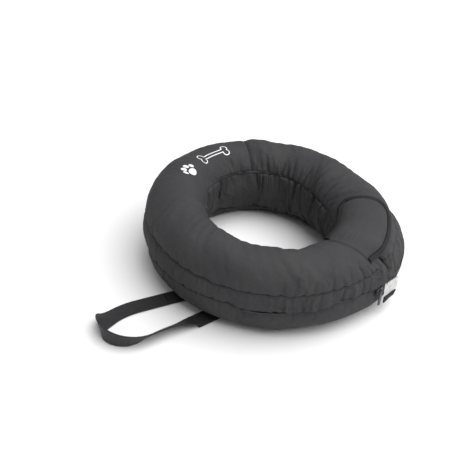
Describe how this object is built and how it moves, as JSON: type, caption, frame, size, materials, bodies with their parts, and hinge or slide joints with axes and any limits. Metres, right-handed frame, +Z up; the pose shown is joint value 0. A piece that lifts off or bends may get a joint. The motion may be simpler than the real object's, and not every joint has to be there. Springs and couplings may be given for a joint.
{
  "type": "elizabethan collar",
  "caption": "Inflatable ring-shaped pet recovery collar in a sewn charcoal cover, with a hook-and-loop closure flap, a zip over the valve and a webbing loop.",
  "frame": {"origin": "centre of the ring at floor level, under the middle of the neck opening", "axes": "+Z up along the neck opening's axis; +X towards the closure's split; the front half with the zip and webbing loop is at -Y and the back half at +Y"},
  "size_m": [0.3061, 0.3816, 0.094],
  "materials": {
    "cover_fabric": "charcoal woven nylon, matt",
    "seam_cord": "charcoal sewn seam",
    "binding_tape": "near-black ribbon tape",
    "hook_and_loop": "black hook and loop tape",
    "webbing": "dark woven webbing",
    "label_fabric": "white satin ribbon, no print",
    "bladder_film": "pale grey flexible film",
    "valve_plastic": "translucent white moulding",
    "zip_coil": "black nylon coil",
    "zip_metal": "black painted zinc"
  },
  "bodies": {
    "front_half": {"front_top_panel": "cover_fabric", "front_gusset": "cover_fabric", "front_neck_panel": "cover_fabric", "front_base_panel": "cover_fabric", "front_outer_top_seam": "seam_cord", "front_neck_top_seam": "seam_cord", "front_neck_base_seam": "seam_cord", "front_gusset_seam": "seam_cord", "front_end_panel": "cover_fabric", "front_bladder": "bladder_film", "valve_body": "valve_plastic", "zip_tape_upper": "binding_tape", "zip_tape_lower": "binding_tape", "zip_coil": "zip_coil", "zip_stops": "zip_metal", "strap_tab_left": "webbing", "strap_tab_right": "webbing", "strap_loop": "webbing"},
    "back_half": {"back_top_panel": "cover_fabric", "back_gusset": "cover_fabric", "back_neck_panel": "cover_fabric", "back_base_panel": "cover_fabric", "back_outer_top_seam": "seam_cord", "back_neck_top_seam": "seam_cord", "back_neck_base_seam": "seam_cord", "back_gusset_seam": "seam_cord", "back_end_panel": "cover_fabric", "back_bladder": "bladder_film", "loop_tape": "hook_and_loop", "care_label": "label_fabric"},
    "flap": {"closure_flap": "cover_fabric", "flap_lining": "cover_fabric", "flap_binding": "binding_tape", "hook_tape": "hook_and_loop"},
    "zip_slider": {"zip_slider": "zip_metal"},
    "zip_pull": {"zip_pull": "zip_metal"},
    "valve_plug": {"valve_plug": "valve_plastic"}
  },
  "joints": [
    {"name": "ring_opening", "type": "hinge", "parent": "front_half", "child": "back_half", "pos_m": [-0.152, 0, 0.045], "axis": [0, 0, 1], "range_deg": [0, 30], "stiffness_Nm_per_rad": 2},
    {"name": "flap_lift", "type": "hinge", "parent": "front_half", "child": "flap", "pos_m": [0.10833, -0.0191, 0.091], "axis": [0.9848, -0.1736, 0], "range_deg": [0, 150]},
    {"name": "slider_travel", "type": "hinge", "parent": "front_half", "child": "zip_slider", "pos_m": [0, 0, 0.0381], "axis": [0, 0, 1], "range_deg": [-58, 0]},
    {"name": "pull_swing", "type": "hinge", "parent": "zip_slider", "child": "zip_pull", "pos_m": [0.15345, -0.01181, 0.0381], "axis": [-0.0767, -0.9971, 0], "range_deg": [0, 120]},
    {"name": "plug_travel", "type": "slide", "parent": "front_half", "child": "valve_plug", "axis": [0.5592, -0.829, 0], "range_m": [0, 0.006]}
  ],
  "couplings": [
    {"joint": "flap_lift", "follows": "ring_opening", "ratio": 5}
  ]
}
